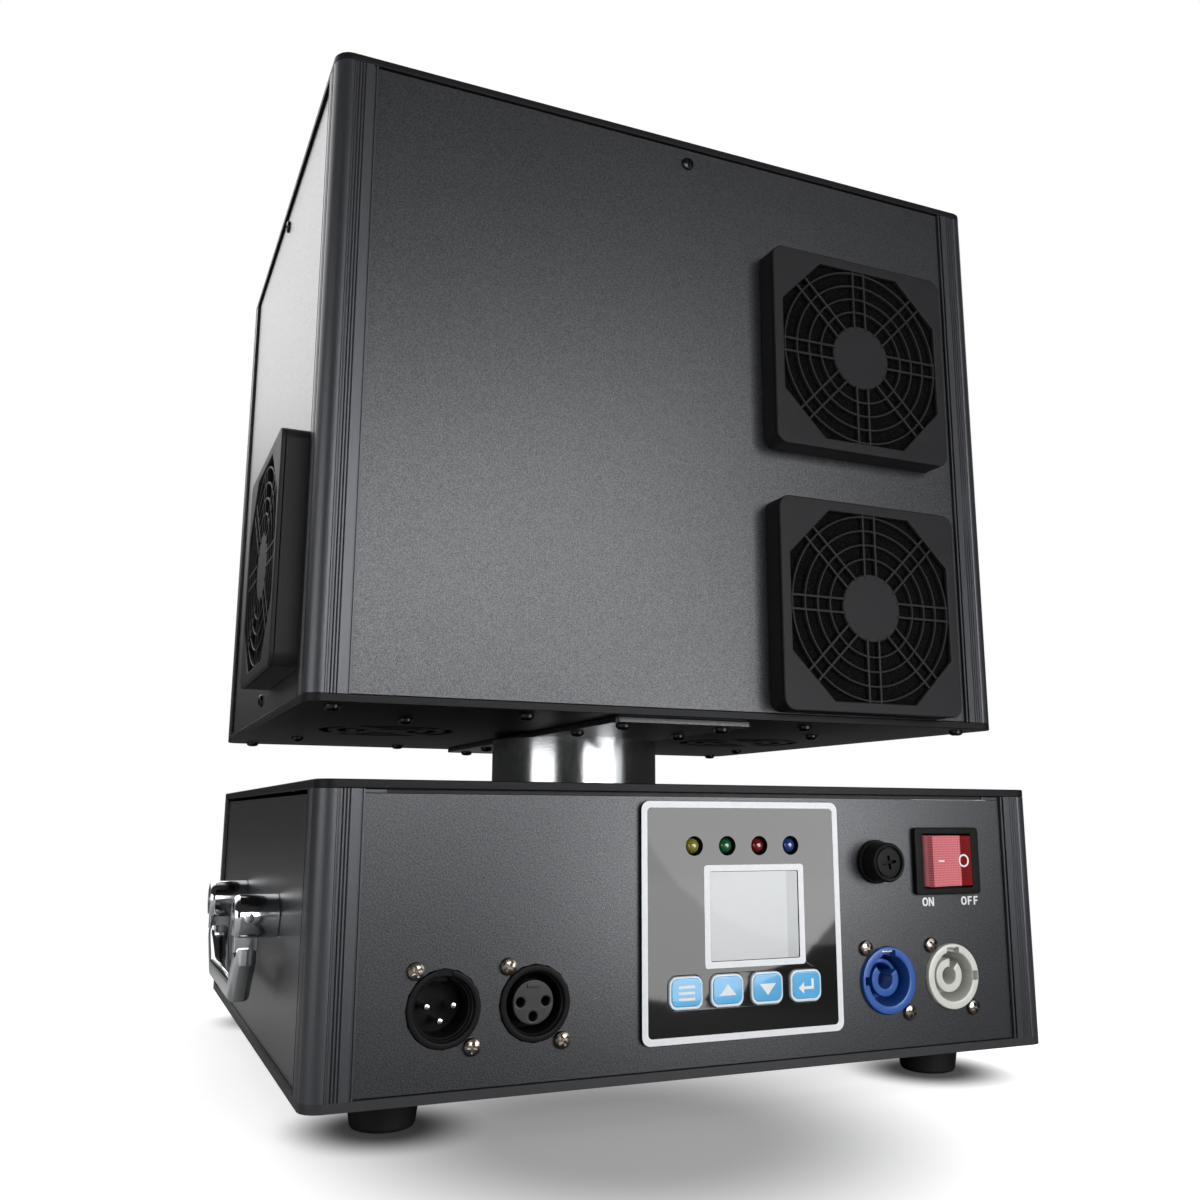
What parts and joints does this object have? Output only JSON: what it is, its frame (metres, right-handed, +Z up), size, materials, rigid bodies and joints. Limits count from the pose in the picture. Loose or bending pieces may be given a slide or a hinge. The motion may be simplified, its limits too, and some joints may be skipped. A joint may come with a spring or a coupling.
{
  "type": "cold spark machine",
  "caption": "Stage effect machine: control base with sockets, display and drop handles, and a turning head on a neck tube that holds spark nozzles, hoppers and filtered fans.",
  "frame": {"origin": "on the ground, under the middle of the bounding box", "axes": "+X right seen from the control panel, +Y to the back, +Z up"},
  "size_m": [0.3194, 0.2926, 0.3966],
  "materials": {
    "powder_coat": "black powder coat with a fine leather grain, satin",
    "anodised_black": "black anodised extrusion, satin",
    "polished_tube": "polished",
    "chrome": "bright chrome plate",
    "cast_alloy": "plain machined and cast alloy",
    "steel": "plain steel",
    "black_plastic": "matt black moulding",
    "gloss_black": "glossy black printed film over the screen",
    "rubber": "moulded black rubber",
    "blue_plastic": "blue moulding",
    "grey_plastic": "light grey moulding",
    "red_plastic": "clear red moulding",
    "pale_blue_plastic": "pale blue keys"
  },
  "bodies": {
    "base": {"base_back_panel": "powder_coat", "base_bottom_plate": "powder_coat", "base_front_panel": "powder_coat", "base_left_panel": "powder_coat", "base_post_back_left": "anodised_black", "base_post_back_right": "anodised_black", "base_post_front_left": "anodised_black", "base_post_front_right": "anodised_black", "base_right_panel": "powder_coat", "base_top_plate": "powder_coat", "data_in_socket": "black_plastic", "data_out_socket": "black_plastic", "display_unit": "gloss_black", "foot_back_left": "rubber", "foot_back_right": "rubber", "foot_front_left": "rubber", "foot_front_right": "rubber", "fuse_holder": "black_plastic", "handle_lug_left_back": "chrome", "handle_lug_left_front": "chrome", "handle_lug_right_back": "chrome", "handle_lug_right_front": "chrome", "pan_belt": "rubber", "pan_motor": "steel", "power_in_socket": "blue_plastic", "power_out_socket": "grey_plastic", "switch_bezel": "black_plastic"},
    "head": {"neck_tube": "polished_tube", "swivel_plate": "powder_coat", "fan_guard_front_lower": "black_plastic", "fan_guard_front_upper": "black_plastic", "fan_guard_left_side": "black_plastic", "head_back_panel": "powder_coat", "head_bottom_plate": "powder_coat", "head_front_panel": "powder_coat", "head_left_panel": "powder_coat", "head_post_back_left": "anodised_black", "head_post_back_right": "anodised_black", "head_post_front_left": "anodised_black", "head_post_front_right": "anodised_black", "head_right_panel": "powder_coat", "head_top_plate": "powder_coat", "spark_unit_left": "cast_alloy", "spark_unit_right": "cast_alloy"},
    "motor_pulley": {"motor_pulley": "cast_alloy"},
    "bail_left": {"handle_bail_left": "chrome"},
    "bail_right": {"handle_bail_right": "chrome"},
    "rocker": {"switch_rocker": "red_plastic"},
    "fuse_cap": {"fuse_cap": "black_plastic"},
    "button_menu": {"button_menu": "pale_blue_plastic"},
    "button_up": {"button_up": "pale_blue_plastic"},
    "button_down": {"button_down": "pale_blue_plastic"},
    "button_enter": {"button_enter": "pale_blue_plastic"},
    "rotor_front_upper": {"fan_rotor_front_upper": "black_plastic"},
    "rotor_front_lower": {"fan_rotor_front_lower": "black_plastic"},
    "rotor_left_side": {"fan_rotor_left_side": "black_plastic"},
    "feed_screw_left": {"feed_screw_left": "steel"},
    "filler_cap_left": {"filler_cap_left": "black_plastic"},
    "feed_screw_right": {"feed_screw_right": "steel"},
    "filler_cap_right": {"filler_cap_right": "black_plastic"}
  },
  "joints": [
    {"name": "head_pan", "type": "hinge", "parent": "base", "child": "head", "pos_m": [0, 0.00405, 0.125], "axis": [0, 0, 1], "range_deg": [-180, 180]},
    {"name": "motor_spin", "type": "hinge", "parent": "base", "child": "motor_pulley", "pos_m": [-0.072, 0.07605, 0.074], "axis": [0, 0, 1], "range_deg": [-690, 690]},
    {"name": "bail_left_swing", "type": "hinge", "parent": "base", "child": "bail_left", "pos_m": [-0.1548, -0.01395, 0.065], "axis": [0, 1, 0], "range_deg": [0, 90]},
    {"name": "bail_right_swing", "type": "hinge", "parent": "base", "child": "bail_right", "pos_m": [0.1548, -0.01395, 0.065], "axis": [0, -1, 0], "range_deg": [0, 90]},
    {"name": "rocker_tilt", "type": "hinge", "parent": "base", "child": "rocker", "pos_m": [0.1006, -0.13295, 0.0844], "axis": [0, 0, 1], "range_deg": [-18, 0]},
    {"name": "fuse_cap_turn", "type": "hinge", "parent": "base", "child": "fuse_cap", "pos_m": [0.067, -0.13695, 0.0844], "axis": [0, 1, 0], "range_deg": [0, 90]},
    {"name": "button_menu_press", "type": "slide", "parent": "base", "child": "button_menu", "axis": [0, 1, 0], "range_m": [0, 0.0012], "stiffness_N_per_m": 800},
    {"name": "button_up_press", "type": "slide", "parent": "base", "child": "button_up", "axis": [0, 1, 0], "range_m": [0, 0.0012], "stiffness_N_per_m": 800},
    {"name": "button_down_press", "type": "slide", "parent": "base", "child": "button_down", "axis": [0, 1, 0], "range_m": [0, 0.0012], "stiffness_N_per_m": 800},
    {"name": "button_enter_press", "type": "slide", "parent": "base", "child": "button_enter", "axis": [0, 1, 0], "range_m": [0, 0.0012], "stiffness_N_per_m": 800},
    {"name": "rotor_front_upper_spin", "type": "hinge", "parent": "head", "child": "rotor_front_upper", "pos_m": [0.0779, -0.12995, 0.295], "axis": [0, -1, 0], "continuous": true},
    {"name": "rotor_front_lower_spin", "type": "hinge", "parent": "head", "child": "rotor_front_lower", "pos_m": [0.0779, -0.12995, 0.1856], "axis": [0, -1, 0], "continuous": true},
    {"name": "rotor_left_side_spin", "type": "hinge", "parent": "head", "child": "rotor_left_side", "pos_m": [-0.134, -0.05845, 0.1955], "axis": [-1, 0, 0], "continuous": true},
    {"name": "feed_screw_left_spin", "type": "hinge", "parent": "head", "child": "feed_screw_left", "pos_m": [-0.062, 0.02405, 0.2195], "axis": [0, 1, 0], "continuous": true},
    {"name": "feed_screw_right_spin", "type": "hinge", "parent": "head", "child": "feed_screw_right", "pos_m": [0.062, 0.02405, 0.2195], "axis": [0, 1, 0], "continuous": true},
    {"name": "filler_cap_left_turn", "type": "hinge", "parent": "head", "child": "filler_cap_left", "pos_m": [-0.062, 0.05205, 0.39], "axis": [0, 0, 1], "range_deg": [0, 90]},
    {"name": "filler_cap_right_turn", "type": "hinge", "parent": "head", "child": "filler_cap_right", "pos_m": [0.062, 0.05205, 0.39], "axis": [0, 0, 1], "range_deg": [0, 90]}
  ],
  "couplings": [
    {"joint": "motor_spin", "follows": "head_pan", "ratio": 3.7692}
  ]
}
